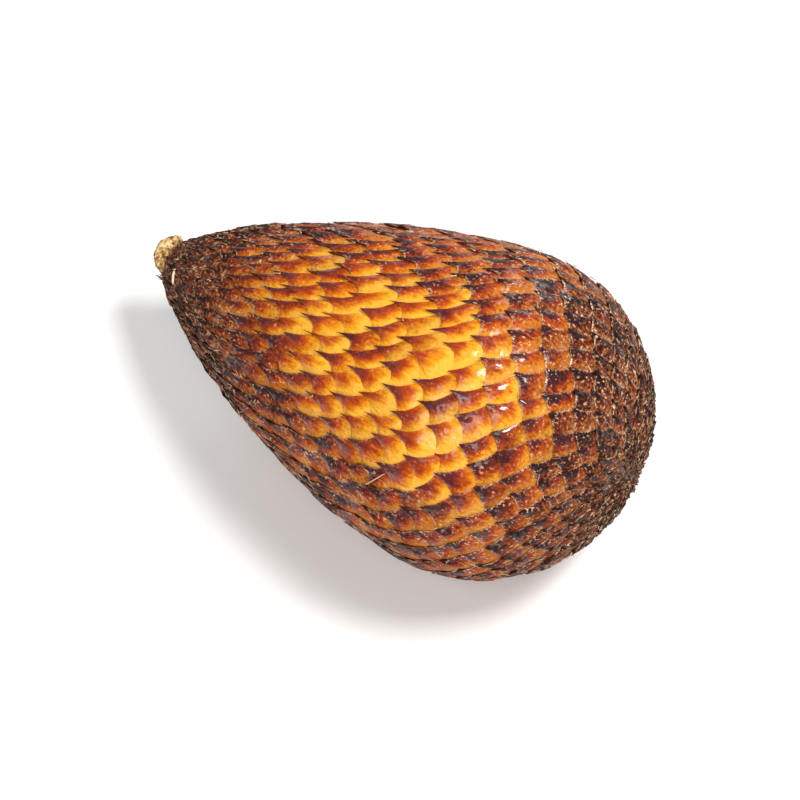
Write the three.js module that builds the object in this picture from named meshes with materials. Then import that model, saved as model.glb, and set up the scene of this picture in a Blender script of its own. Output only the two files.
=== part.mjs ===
// A whole snake fruit (salak) lying on its side, in millimetres.
// Its long axis runs along X, the stalk end to -X and a little lower. +Z is up.
// The origin is on the small flat spot that the fruit rests on, under its weight.

import * as THREE from 'three';
import { mergeVertices } from 'three/addons/utils/BufferGeometryUtils.js';

// The body under the scales: a ball at the round end, drawn out to a point at the stalk end.
const BELLY_RADIUS = 21.6;
const STALK_REACH = 49.6; // from the widest section to the point where the flanks would meet
const FLANK_POWER = 1.54; // how late the flanks start to fall
const FLANK_ROUNDNESS = 0.785; // below 1 the flanks bulge
const RIM_RADIUS = 2.9; // skin's end around the stalk
const SCAR_RADIUS = 1.2; // bare scar at the pole of the round end
const BEND = 0.7; // the middle leans to -Y by this much
const LUMP = 0.012; // share of the radius that the three soft corners add
const LUMP_COUNT = 3;

// Resting place.
const TILT = THREE.MathUtils.degToRad(6); // the stalk end points down by this much
const AXIS_HEIGHT = 21.05; // the axis stands this high over the flat spot at the widest section
const WEIGHT_BACK = 7.0; // the centre of the weight lies this far from there, to the stalk
const WEIGHT_ASIDE = 0.53; // and this far to the leaning side

// Scales sit on one rising spiral: each is 21 columns round from the last, out of 55,
// so the 55th after it lies straight behind it.
const COLUMNS = 55;
const COLUMN_STEP = 21; // also the scale at one back corner of each scale
const OTHER_CORNER = COLUMNS - COLUMN_STEP; // the scale at the other back corner
const ROUND_END_PITCH = 4.4; // length of a scale on the round end
const FLANK_EXTRA_PITCH = 2.7; // what the flanks add to it
const PITCH_CHANGE_AT = -12.0; // where half of that is reached
const PITCH_CHANGE_OVER = 7.0; // and over what length it comes in
const END_SHRINK = 0.55; // scales shrink by this share where the fruit narrows to nothing
const END_SHRINK_RADIUS = 5.0;
const STALK_END_SHRINK = 0.45; // and by this share more close to the stalk
const STALK_END_AT = -36.0; // where half of that is reached
const STALK_END_OVER = 2.5; // and over what length it comes in
const END_SQUEEZE = 0.1; // share of a scale's length that the first and last rows keep

// On one side the columns are crowded by the stalk and spread out on the round end.
const UNEVEN_SIDE = THREE.MathUtils.degToRad(118);
const STALK_CROWDING = 0.2; // share by which they are closer there
const ROUND_SPREADING = 0.16; // and by which they are wider apart here
const SPREAD_AT = -3.0; // where it goes over from one to the other
const SPREAD_OVER = 5.0;

// Each scale overlaps the two before it. Heights are above the bare skin.
const TIP_HEIGHT = 0.75;
const EDGE_HEIGHT = 0.45;
const DOME_HEIGHT = 0.5;
const TIP_SETBACK = 0.07; // the rest are shares of a scale's length
const EDGE_SETBACK = 0.04;
const DOME_PLACE = 0.45;
const LOW_RELIEF = 0.3; // share of the relief that is left where the fruit is thinnest
const FULL_RELIEF_RADIUS = 10.0;

// Corky stump of the stalk, in a shallow socket.
const SOCKET_RADIUS = 2.45;
const SOCKET_DEPTH = 1.0;
const CLEARANCE = 0.3;
const STUMP_RADIUS = SOCKET_RADIUS - CLEARANCE;
const STUMP_LENGTH = 3.6;
const STUMP_SIDES = 24;

const MERIDIAN_STEPS = 400;
const TURN = 2 * Math.PI;

// Radius of the bare skin at a place x along the axis, measured from the widest section.
function skinRadius(x) {
  if (x > 0) {
    return Math.sqrt(Math.max(BELLY_RADIUS ** 2 - x ** 2, 0));
  }
  return BELLY_RADIUS * (1 - (-x / STALK_REACH) ** FLANK_POWER) ** FLANK_ROUNDNESS;
}

// Where the flank has narrowed to the rim around the stalk.
function rimPlace() {
  const share = (RIM_RADIUS / BELLY_RADIUS) ** (1 / FLANK_ROUNDNESS);
  return -STALK_REACH * (1 - share) ** (1 / FLANK_POWER);
}

// Length of a scale at a place on the skin.
function scalePitch(x, radius) {
  const onFlank = 1 / (1 + Math.exp((x - PITCH_CHANGE_AT) / PITCH_CHANGE_OVER));
  const shrink = 1 - END_SHRINK * Math.exp(-radius / END_SHRINK_RADIUS);
  const nearStalk = 1 / (1 + Math.exp((x - STALK_END_AT) / STALK_END_OVER));
  const full = (ROUND_END_PITCH + FLANK_EXTRA_PITCH * onFlank) * shrink;
  return full * (1 - STALK_END_SHRINK * nearStalk);
}

// The skin's outline from the stalk to the pole, with the count of scale lengths passed so far.
function makeMeridian() {
  const line = [];
  const rim = rimPlace();
  for (let i = 0; i < MERIDIAN_STEPS; i += 1) {
    const x = rim * (1 - i / MERIDIAN_STEPS);
    line.push({ x, radius: skinRadius(x) });
  }
  const lastAngle = Math.asin(SCAR_RADIUS / BELLY_RADIUS);
  for (let i = 0; i <= MERIDIAN_STEPS; i += 1) {
    const angle = THREE.MathUtils.lerp(Math.PI / 2, lastAngle, i / MERIDIAN_STEPS);
    line.push({ x: BELLY_RADIUS * Math.cos(angle), radius: BELLY_RADIUS * Math.sin(angle) });
  }
  line[0].passed = 0;
  for (let i = 1; i < line.length; i += 1) {
    const here = line[i];
    const last = line[i - 1];
    const step = Math.hypot(here.x - last.x, here.radius - last.radius);
    here.passed = last.passed + step / scalePitch(here.x, here.radius);
  }
  return line;
}

const MERIDIAN = makeMeridian();
const LENGTHS_PASSED = MERIDIAN[MERIDIAN.length - 1].passed;
const SCALES = Math.round(COLUMNS * (LENGTHS_PASSED + 1 - 2 * END_SQUEEZE));

// Eases a spiral place, in scale lengths, so that the first and last turns close up at the ends.
function squeezed(place) {
  const last = SCALES / COLUMNS;
  const first = Math.min(place, 1) * END_SQUEEZE;
  const middle = Math.min(Math.max(place, 1), last) - 1;
  const end = Math.max(place - last, 0) * END_SQUEEZE;
  return first + middle + end;
}

const SQUEEZED_LENGTH = squeezed(SCALES / COLUMNS + 1);

// The point and outward direction of the skin's outline at a spiral place.
function onMeridian(place) {
  const wanted = Math.min(squeezed(place) / SQUEEZED_LENGTH, 1) * LENGTHS_PASSED;
  let low = 0;
  let high = MERIDIAN.length - 1;
  while (high - low > 1) {
    const middle = (low + high) >> 1;
    if (MERIDIAN[middle].passed <= wanted) {
      low = middle;
    } else {
      high = middle;
    }
  }
  const a = MERIDIAN[low];
  const b = MERIDIAN[high];
  const share = (wanted - a.passed) / (b.passed - a.passed);
  const length = Math.hypot(b.x - a.x, b.radius - a.radius);
  return {
    x: THREE.MathUtils.lerp(a.x, b.x, share),
    radius: THREE.MathUtils.lerp(a.radius, b.radius, share),
    outX: -(b.radius - a.radius) / length,
    outRadius: (b.x - a.x) / length,
  };
}

// Turns a place along the axis, a radius and an angle into a point of the part.
// The three soft corners, the lean, the tilt and the flat spot are all added here.
function bodyPoint(x, radius, angle) {
  let distance = radius * (1 + LUMP * Math.cos(LUMP_COUNT * angle));
  const axisHeight = AXIS_HEIGHT + x * Math.sin(TILT);
  const down = -Math.sin(angle) * Math.cos(TILT);
  if (down * distance > axisHeight) {
    distance = axisHeight / down;
  }
  const along = (x + STALK_REACH) / (STALK_REACH + BELLY_RADIUS);
  const lean = WEIGHT_ASIDE - BEND * Math.sin(Math.PI * along);
  const up = distance * Math.sin(angle);
  return [
    (x + WEIGHT_BACK) * Math.cos(TILT) - up * Math.sin(TILT),
    distance * Math.cos(angle) + lean,
    axisHeight + up * Math.cos(TILT),
  ];
}

// The angle of a column at a place x along the axis.
function columnAngle(column, x) {
  const even = (column / COLUMNS) * TURN;
  const spread = 1 / (1 + Math.exp((SPREAD_AT - x) / SPREAD_OVER));
  const uneven = THREE.MathUtils.lerp(-STALK_CROWDING, ROUND_SPREADING, spread);
  return even + uneven * Math.sin(even - UNEVEN_SIDE);
}

// A point of the scaly skin: column and place on the spiral, and height over the bare skin.
function skinPoint(column, place, height) {
  const spot = onMeridian(place);
  const fullness = Math.min(spot.radius / FULL_RELIEF_RADIUS, 1);
  const rise = height * (LOW_RELIEF + (1 - LOW_RELIEF) * fullness);
  const x = spot.x + rise * spot.outX;
  const radius = spot.radius + rise * spot.outRadius;
  return bodyPoint(x, radius, columnAngle(column, spot.x));
}

// The fruit: every scale has a foot, a raised tip, two raised side edges and a dome.
function makeFruit() {
  const positions = [];
  const faces = [];
  const feet = SCALES + COLUMNS;
  for (let n = 0; n < feet; n += 1) {
    positions.push(...skinPoint(n * COLUMN_STEP, n / COLUMNS, 0));
  }
  for (let n = 0; n < SCALES; n += 1) {
    const column = n * COLUMN_STEP;
    const place = n / COLUMNS;
    const nearSide = (COLUMN_STEP / COLUMNS) / 2 + EDGE_SETBACK;
    const farSide = (OTHER_CORNER / COLUMNS) / 2 + EDGE_SETBACK;
    const tip = positions.length / 3;
    positions.push(...skinPoint(column, place + TIP_SETBACK, TIP_HEIGHT));
    positions.push(...skinPoint(column + 0.5, place + nearSide, EDGE_HEIGHT));
    positions.push(...skinPoint(column - 0.5, place + farSide, EDGE_HEIGHT));
    positions.push(...skinPoint(column, place + DOME_PLACE, DOME_HEIGHT));
    const nearEdge = tip + 1;
    const farEdge = tip + 2;
    const dome = tip + 3;
    const near = n + COLUMN_STEP;
    const far = n + OTHER_CORNER;
    const back = n + COLUMNS;
    const outline = [tip, nearEdge, near, back, far, farEdge];
    for (let i = 0; i < outline.length; i += 1) {
      faces.push(dome, outline[i], outline[(i + 1) % outline.length]);
    }
    faces.push(n, near, nearEdge, n, nearEdge, tip);
    faces.push(n, tip, farEdge, n, farEdge, far);
  }
  closeStalkEnd(positions, faces);
  closeRoundEnd(positions, faces);
  return indexedGeometry(positions, faces);
}

// A ring of points, one in each column, at a place along the axis.
function addRing(positions, x, radius) {
  const first = positions.length / 3;
  for (let column = 0; column < COLUMNS; column += 1) {
    positions.push(...bodyPoint(x, radius, columnAngle(column, x)));
  }
  return Array.from({ length: COLUMNS }, (_, column) => first + column);
}

// Joins two rings of points that both run once round the fruit.
function joinRings(faces, ahead, behind) {
  for (let column = 0; column < COLUMNS; column += 1) {
    const next = (column + 1) % COLUMNS;
    faces.push(ahead[column], ahead[next], behind[next]);
    faces.push(ahead[column], behind[next], behind[column]);
  }
}

// The socket that the stalk stands in: a lip, a wall and a floor.
function closeStalkEnd(positions, faces) {
  const feet = Array.from({ length: COLUMNS }, (_, column) => (column * COLUMN_STEP) % COLUMNS);
  const rim = rimPlace();
  const lip = addRing(positions, rim, SOCKET_RADIUS);
  const floor = addRing(positions, rim + SOCKET_DEPTH, SOCKET_RADIUS);
  joinRings(faces, lip, feet);
  joinRings(faces, floor, lip);
  const middle = positions.length / 3;
  positions.push(...bodyPoint(rim + SOCKET_DEPTH, 0, 0));
  for (let column = 0; column < COLUMNS; column += 1) {
    faces.push(middle, floor[(column + 1) % COLUMNS], floor[column]);
  }
}

// The small bare scar at the pole of the round end.
function closeRoundEnd(positions, faces) {
  const pole = positions.length / 3;
  positions.push(...bodyPoint(BELLY_RADIUS, 0, 0));
  const feet = Array.from({ length: COLUMNS }, (_, column) => {
    const turnsOn = column * COLUMN_STEP - SCALES;
    return SCALES + THREE.MathUtils.euclideanModulo(turnsOn, COLUMNS);
  });
  for (let column = 0; column < COLUMNS; column += 1) {
    faces.push(pole, feet[column], feet[(column + 1) % COLUMNS]);
  }
}

function indexedGeometry(positions, faces) {
  const geometry = new THREE.BufferGeometry();
  geometry.setAttribute('position', new THREE.Float32BufferAttribute(positions, 3));
  geometry.setIndex(faces);
  geometry.computeVertexNormals();
  return geometry;
}

// The stump: a short round peg that swells a little and ends in a worn, rounded face.
function makeStump() {
  const outline = [
    [0, 0],
    [STUMP_RADIUS - 0.25, 0],
    [STUMP_RADIUS, 0.25],
    [STUMP_RADIUS, SOCKET_DEPTH],
    [STUMP_RADIUS + 0.2, STUMP_LENGTH * 0.5],
    [STUMP_RADIUS + 0.1, STUMP_LENGTH * 0.75],
    [STUMP_RADIUS - 0.5, STUMP_LENGTH * 0.93],
    [STUMP_RADIUS - 1.3, STUMP_LENGTH],
    [0, STUMP_LENGTH - 0.2],
  ];
  const points = outline.map(([radius, height]) => new THREE.Vector2(radius, height));
  const lathe = new THREE.LatheGeometry(points, STUMP_SIDES);
  lathe.deleteAttribute('normal');
  lathe.deleteAttribute('uv');
  const geometry = mergeVertices(lathe);
  geometry.computeVertexNormals();
  return geometry;
}

const skin = new THREE.MeshStandardMaterial({ color: 0xb4561d, roughness: 0.42, metalness: 0 });
const cork = new THREE.MeshStandardMaterial({ color: 0xcda76a, roughness: 0.85, metalness: 0 });

const snakeFruit = new THREE.Group();

const fruit = new THREE.Mesh(makeFruit(), skin);
fruit.name = 'fruit';
snakeFruit.add(fruit);

const stump = new THREE.Mesh(makeStump(), cork);
stump.name = 'stalk_stump';
const [stumpX, stumpY, stumpZ] = bodyPoint(rimPlace() + SOCKET_DEPTH - CLEARANCE, 0, 0);
stump.position.set(stumpX, stumpY, stumpZ);
stump.rotation.order = 'YZX';
stump.rotation.y = -TILT;
stump.rotation.z = Math.PI / 2;
snakeFruit.add(stump);

export default snakeFruit;
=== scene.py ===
"""A whole snake fruit (salak) on a pale floor.

The body is a ball drawn out to a point. Its scales sit on one rising spiral, each 21 of 55
columns round from the last, so that each scale's back corners are the tips of the scales
21, 34 and 55 places further on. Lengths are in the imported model's millimetres, worked into
metres by MM. x runs along the fruit from the widest section, less than 0 towards the stalk.
Angles go round it: 0 is the back, 90 the top, 180 the front and 270 underneath.
"""

import math

import bpy
import numpy as np
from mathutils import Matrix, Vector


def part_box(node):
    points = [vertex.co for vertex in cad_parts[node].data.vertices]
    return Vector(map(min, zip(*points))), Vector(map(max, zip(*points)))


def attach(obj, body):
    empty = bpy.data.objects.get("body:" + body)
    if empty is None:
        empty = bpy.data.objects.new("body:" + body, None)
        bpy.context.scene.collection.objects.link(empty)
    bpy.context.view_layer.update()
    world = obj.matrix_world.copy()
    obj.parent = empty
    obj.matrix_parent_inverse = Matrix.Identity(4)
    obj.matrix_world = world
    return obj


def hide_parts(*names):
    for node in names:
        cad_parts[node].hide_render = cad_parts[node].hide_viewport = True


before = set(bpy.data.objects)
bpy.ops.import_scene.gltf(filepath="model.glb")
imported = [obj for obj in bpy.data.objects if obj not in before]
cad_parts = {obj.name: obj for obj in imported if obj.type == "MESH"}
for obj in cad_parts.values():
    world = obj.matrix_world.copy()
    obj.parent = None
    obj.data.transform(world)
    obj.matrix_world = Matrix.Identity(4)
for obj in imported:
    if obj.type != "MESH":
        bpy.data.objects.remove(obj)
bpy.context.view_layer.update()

# ---- the body, as in the part's source -------------------------------------------------
FRUIT_LOW, FRUIT_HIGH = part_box("fruit")
FRUIT_LENGTH = 69.321  # the fruit node's own length in its millimetres
MM = (FRUIT_HIGH[0] - FRUIT_LOW[0]) / FRUIT_LENGTH

BELLY_RADIUS = 21.6
STALK_REACH = 49.6  # from the widest section to the point where the flanks would meet
FLANK_POWER = 1.54  # how late the flanks start to fall
FLANK_ROUNDNESS = 0.785  # below 1 they bulge
RIM_RADIUS = 2.9  # the skin's end round the stalk
SCAR_RADIUS = 1.2  # the bare scar at the pole of the round end
POLE_RISE = 0.1  # how far the pole stands out
BEND = 0.7  # how far the middle leans to the front
LUMP = 0.012  # the share of the radius that the three soft corners add
LUMP_COUNT = 3
TILT = math.radians(6)  # how far the stalk end points down
AXIS_HEIGHT = 21.05  # of the axis over the flat spot, at the widest section
WEIGHT_BACK = 7.0  # from there to the weight, towards the stalk
WEIGHT_ASIDE = 0.53  # and towards the front
LEAST_DOWN = 0.05  # a direction that points down less than this never meets the floor

# ---- the stalk knob --------------------------------------------------------------------
SOCKET_RADIUS = 2.45
SOCKET_DEPTH = 1.0
SOCKET_GAP = 0.12  # between the knob and the socket's wall and floor
KNOB_RADIUS = 2.3
KNOB_BULGE = 0.2  # how far it swells over the rim, as a share of its radius
KNOB_LENGTH = 3.5
KNOB_BULB = 0.4  # the share of its length where it starts to round off
KNOB_ROUNDNESS = 2.2
KNOB_TOP = 0.985  # the share of the full rounding that its torn top reaches
KNOB_LEAN = (0.5, 0.68, 0.5)  # how far its top leans over, in millimetres
KNOB_SOCKET_SHARE = 0.22  # the share of its length that is in the socket
KNOB_LEANT = 0.55  # and the share by which it has leant over
KNOB_SWELL = (0.2, 0.42)  # where its swelling starts and is full
KNOB_STRANDS = (5, 9, 14, 21)  # ridges that run along it, counted round it
KNOB_LUMPS = ((2, 1), (3, 2), (6, 3))  # its lumps, counted round and along it
STRAND_TWIST = 1.5  # how far strands wander round it, in radians
STRAND_RISE = 0.05  # these three are shares of its radius
LUMP_RISE = 0.08
CRUMB_RISE = 0.06
KNOB_TEAR = 0.25  # how far strands stick out of its top
KNOB_TEAR_FROM = 0.6
KNOB_SIDES = 72
KNOB_RINGS = 40

# ---- the spiral of scales --------------------------------------------------------------
COLUMNS = 55
NEAR = 21  # steps along the spiral to a scale's near back corner
FAR = 34  # to its far back corner
BACK = 55  # and to the scale straight behind
ROUND_END_PITCH = 4.4  # length of a scale on the round end
FLANK_EXTRA_PITCH = 2.7  # what the flanks add to it
PITCH_CHANGE_AT = -12.0
PITCH_CHANGE_OVER = 7.0
END_SHRINK = 0.55  # the share that scales lose where the fruit narrows to nothing
END_SHRINK_RADIUS = 5.0
STALK_END_SHRINK = 0.45  # and the share more that they lose close to the stalk
STALK_END_AT = -36.0
STALK_END_OVER = 2.5
END_SQUEEZE = 0.1  # the share of its length that the first and last turn keep
UNEVEN_SIDE = math.radians(118)  # where the columns are crowded and spread the most
STALK_CROWDING = 0.2  # the share by which they are closer there by the stalk
ROUND_SPREADING = 0.16  # and wider apart there on the round end
SPREAD_AT = -3.0
SPREAD_OVER = 5.0
MERIDIAN_STEPS = 400

# ---- one scale: heights in millimetres, and places as shares of its length ---------------
EDGE_STEPS = np.array([0.0, 0.06, 0.2, 0.4, 0.62, 0.84, 1.0])
LAST = len(EDGE_STEPS) - 1
PLATEAU = 0.19
TIP_RISE = 0.16
KEEL_RISE = 0.08
KEEL_WIDTH = 0.2
KEEL_END = 0.75  # where the keel has come down to the plateau
KEEL_FULL = 0.1  # and where it is full
PILLOW = 0.14
EDGE_ROUND = 0.07
EDGE_ROUND_WIDTH = 0.06
SHOULDER = 3.0  # how late the plateau falls to the valley behind it
NEAR_CUSP = 1.1  # how far the near free edge is drawn in behind the tip
FAR_CUSP = 0.35  # and the far one
CUSP_FADE = 1.6
CUSP_SPREAD = 0.35
TIP_REACH = 0.15  # how far the tip stands out over its neighbours
TIP_PART = 0.5  # up to this s + t
BLUNTNESS = 0.75  # the share of cusp and reach that is lost on the round end
BLUNT_FROM, BLUNT_TO = -6.0, 10.0
UNDERCUT = 0.06  # how far the valley runs on under the free edges
UNDERCUT_FROM = 0.8
FOOT_SHIFT = 0.03
HEIGHT_SPREAD = 0.3
LIFTED_SHARE = 0.07  # scales whose tip stands up
LIFT = 0.22
LIFT_PART = 0.7  # up to this s + t
FRESH_ROUGHNESS = 0.02  # uneven height everywhere
DRY_ROUGHNESS = 0.07  # and what dryness adds to it
ROUGH_ABOVE = 0.08  # valleys lower than this stay smooth
LOW_RELIEF = 0.35  # the share of the relief that is left where the fruit is thinnest
FULL_RELIEF_RADIUS = 8.0
COLUMN_SHAKE = 0.15
PLACE_SHAKE = 0.05
WALL_MARK = -0.2  # where the map puts the foot of a free edge; the skin's material paints shade on the walls that reach down to it
END_MARK = 0.3  # and the faces that close the two ends

# ---- dry skin: each pair is where it starts and where it is full -------------------------
ROUND_DRYNESS = 0.95
ROUND_DRY = (8.5, 21.5)
STALK_DRYNESS = 0.85
STALK_DRY = (-29.0, -42.0)
STALK_DRY_SLOPE = 0.1  # the stalk's reaches on by this for each degree down the front
FRONT_FROM, FRONT_TO = 100.0, 160.0  # degrees round the fruit
BACK_EARLIER = 10.5  # how much earlier the round end's dry skin starts on the back, partly as painted shadow of the fruit behind
BACK_SIDE = (98.0, 52.0)
UNDER_EARLIER = 7.0  # and underneath
UNDERSIDE = (250.0, 290.0)
DRY_SPREAD = 0.18  # how much scales differ

# ---- golden skin: each pair is where it starts to fade and where it has faded --------------
SUNNY_SIDE = 118.0  # degrees round the fruit
GOLDEN_PATCHES = ((SUNNY_SIDE, 1.0), (300.0, 0.6))  # the middle of each, and how golden it is
PATCH_DRIFT = 0.45  # degrees round for each millimetre along
FADE_AFTER = (10.0, 50.0)  # degrees past a patch's middle
FADE_BEFORE = (16.0, 58.0)  # and short of it
GOLD_ELSEWHERE = 0.28  # the share of it that is left all round
ROUND_END_LOSS = 0.8  # the share that is lost on the round end
ROUND_END_FADE = (0.0, 20.0)
ROUND_END_SLOPE = 0.4  # it fades earlier by this for each degree short of the middle; on the top and back of the round end this is partly painted shadow of the fruit behind
SLOPE_FROM, SLOPE_TO = 20.0, 60.0
STALK_LEFT = 0.2  # the share that is left by the stalk
STALK_FADE = (-17.0, -42.0)
STALK_FADE_SLOPE = 0.25  # it fades earlier by this for each degree past the sunny side
STALK_SLOPE_TO = 60.0
GOLD_SPREAD = 0.07

SEED = 7


def smooth_step(value, low, high):
    """Rises from 0 at low to 1 at high, level at both ends."""
    share = np.clip((value - low) / (high - low), 0.0, 1.0)
    return share * share * (3.0 - 2.0 * share)


def unit(vectors):
    """The same directions with length 1."""
    return vectors / np.linalg.norm(vectors, axis=-1, keepdims=True)


# ---- the body's shape ------------------------------------------------------------------
def skin_radius(x):
    """Radius of the bare skin at x: a circle ahead of the widest section, and behind it
    the belly radius times (1 - t^power)^roundness, with t the share of the reach."""
    ball = np.sqrt(np.maximum(BELLY_RADIUS ** 2 - x ** 2, 0.0))
    share = np.clip(-x / STALK_REACH, 0.0, 1.0)
    flank = BELLY_RADIUS * (1.0 - share ** FLANK_POWER) ** FLANK_ROUNDNESS
    return np.where(x > 0, ball, flank)


def scale_pitch(x, radius):
    """Length of a scale: it grows over a logistic step on to the flank, and shrinks
    exponentially where the fruit narrows, with a second logistic step by the stalk."""
    on_flank = 1.0 / (1.0 + np.exp((x - PITCH_CHANGE_AT) / PITCH_CHANGE_OVER))
    shrink = 1.0 - END_SHRINK * np.exp(-radius / END_SHRINK_RADIUS)
    near_stalk = 1.0 / (1.0 + np.exp((x - STALK_END_AT) / STALK_END_OVER))
    full = (ROUND_END_PITCH + FLANK_EXTRA_PITCH * on_flank) * shrink
    return full * (1.0 - STALK_END_SHRINK * near_stalk)


RIM_SHARE = (RIM_RADIUS / BELLY_RADIUS) ** (1.0 / FLANK_ROUNDNESS)
RIM_PLACE = -STALK_REACH * (1.0 - RIM_SHARE) ** (1.0 / FLANK_POWER)
SOCKET_FLOOR = RIM_PLACE + SOCKET_DEPTH


def make_meridian():
    """The skin's outline from the rim to the pole, with the scale lengths passed so far."""
    flank_x = RIM_PLACE * (1.0 - np.arange(MERIDIAN_STEPS) / MERIDIAN_STEPS)
    last = math.asin(SCAR_RADIUS / BELLY_RADIUS)
    angle = np.linspace(math.pi / 2, last, MERIDIAN_STEPS + 1)
    x = np.concatenate([flank_x, BELLY_RADIUS * np.cos(angle)])
    radius = np.concatenate([skin_radius(flank_x), BELLY_RADIUS * np.sin(angle)])
    step = np.hypot(np.diff(x), np.diff(radius))
    passed = np.concatenate([[0.0], np.cumsum(step / scale_pitch(x[1:], radius[1:]))])
    return x, radius, passed


MERIDIAN_X, MERIDIAN_RADIUS, PASSED = make_meridian()
SCALES = round(COLUMNS * (PASSED[-1] + 1 - 2 * END_SQUEEZE))
NUMBER = np.arange(SCALES)


def squeezed(place):
    """Spiral place in scale lengths, with the first and last turn pressed together."""
    last = SCALES / COLUMNS
    first_part = np.minimum(place, 1.0) * END_SQUEEZE
    middle_part = np.clip(place, 1.0, last) - 1.0
    return first_part + middle_part + np.maximum(place - last, 0.0) * END_SQUEEZE


def on_meridian(place):
    """x, radius and outward direction of the bare skin at a spiral place."""
    whole = squeezed(SCALES / COLUMNS + 1.0)
    wanted = np.clip(squeezed(place) / whole, 0.0, 1.0) * PASSED[-1]
    x = np.interp(wanted, PASSED, MERIDIAN_X)
    radius = np.interp(wanted, PASSED, MERIDIAN_RADIUS)
    turn_x = np.gradient(MERIDIAN_X)
    turn_radius = np.gradient(MERIDIAN_RADIUS)
    length = np.hypot(turn_x, turn_radius)
    out_x = np.interp(wanted, PASSED, -turn_radius / length)
    out_radius = np.interp(wanted, PASSED, turn_x / length)
    return x, radius, out_x, out_radius


def place_at(x):
    """The spiral place where the bare skin passes x."""
    places = np.linspace(0.0, SCALES / COLUMNS + 1.0, MERIDIAN_STEPS)
    return np.interp(x, on_meridian(places)[0], places)


def body_point(x, radius, angle):
    """A point of the model in metres: the three soft corners are a cosine of the angle,
    the flat spot cuts the radius short, and the lean is half a sine along the axis."""
    distance = radius * (1.0 + LUMP * np.cos(LUMP_COUNT * angle))
    axis_height = AXIS_HEIGHT + x * math.sin(TILT)
    down = -np.sin(angle) * math.cos(TILT)
    limit = np.where(down > LEAST_DOWN, axis_height / np.maximum(down, LEAST_DOWN), np.inf)
    distance = np.minimum(distance, limit)
    along = (x + STALK_REACH) / (STALK_REACH + BELLY_RADIUS)
    lean = WEIGHT_ASIDE - BEND * np.sin(math.pi * along)
    up = distance * np.sin(angle)
    point = np.stack([
        (x + WEIGHT_BACK) * math.cos(TILT) - up * math.sin(TILT),
        distance * np.cos(angle) + lean,
        axis_height + up * math.cos(TILT),
    ], axis=-1)
    return point * MM


def column_angle(column, x):
    """The angle of a column at x: even, plus a sine that crowds the columns on one side by
    the stalk and spreads them there on the round end."""
    even = column / COLUMNS * 2 * math.pi
    spread = 1.0 / (1.0 + np.exp((SPREAD_AT - x) / SPREAD_OVER))
    uneven = (STALK_CROWDING + ROUND_SPREADING) * spread - STALK_CROWDING
    return even + uneven * np.sin(even - UNEVEN_SIDE)


def skin_at(angle, place, height):
    """A point at an angle and spiral place, raised by height along the outline's normal."""
    x, radius, out_x, out_radius = on_meridian(place)
    fullness = np.minimum(radius / FULL_RELIEF_RADIUS, 1.0)
    rise = height * (LOW_RELIEF + (1.0 - LOW_RELIEF) * fullness)
    return body_point(x + rise * out_x, radius + rise * out_radius, angle)


def skin_point(column, place, height):
    """The same at a column."""
    return skin_at(column_angle(column, on_meridian(place)[0]), place, height)


def along_skin(angle, place, height):
    """Points over the skin, and the outward direction at each."""
    points = skin_at(angle, place, height)
    outward = unit(skin_at(angle, place, height + 1.0) - points)
    return points, outward


# ---- dry and golden skin ---------------------------------------------------------------
def dryness(angle, x):
    """How dry and grey-brown the skin is. One smooth step along the fruit is the round
    end's dry skin, which starts earlier on the back, partly as painted shadow of the fruit
    behind, and underneath. Another is the stalk's, which reaches on the furthest low on the front."""
    turn = np.degrees(angle) % 360
    down_front = np.clip(turn - FRONT_FROM, 0.0, FRONT_TO - FRONT_FROM)
    by_stalk = smooth_step(x - STALK_DRY_SLOPE * down_front, *STALK_DRY)
    earlier = BACK_EARLIER * smooth_step(turn, *BACK_SIDE)
    earlier = earlier + UNDER_EARLIER * smooth_step(turn, *UNDERSIDE)
    return ROUND_DRYNESS * smooth_step(x + earlier, *ROUND_DRY) + STALK_DRYNESS * by_stalk


def warmth(angle, x):
    """How golden the skin is: one patch on the side that was in the sun and a duller one
    across from it. A patch is 1 less a smooth step to either side of its middle, which
    drifts round the fruit along its length, and all of it fades towards the two ends.
    On the top and back of the round end it fades earlier, partly as painted shadow of the fruit
    behind."""
    warm = np.zeros(np.shape(angle))
    for middle, most in GOLDEN_PATCHES:
        from_middle = angle - np.radians(middle + PATCH_DRIFT * x)
        away = np.degrees(np.angle(np.exp(1j * from_middle)))
        patch = 1.0 - smooth_step(away, *FADE_AFTER) - smooth_step(-away, *FADE_BEFORE)
        short = np.clip(-away - SLOPE_FROM, 0.0, SLOPE_TO - SLOPE_FROM)
        left = 1.0 - ROUND_END_LOSS * smooth_step(x + ROUND_END_SLOPE * short, *ROUND_END_FADE)
        warm = np.maximum(warm, most * (patch + (1.0 - patch) * GOLD_ELSEWHERE) * left)
    past = np.maximum(np.degrees(angle) % 360 - SUNNY_SIDE, 0.0) % 180
    place = x - STALK_FADE_SLOPE * np.minimum(past, STALK_SLOPE_TO)
    full, gone = STALK_FADE
    return warm * (STALK_LEFT + (1.0 - STALK_LEFT) * smooth_step(place, gone, full))


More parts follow.
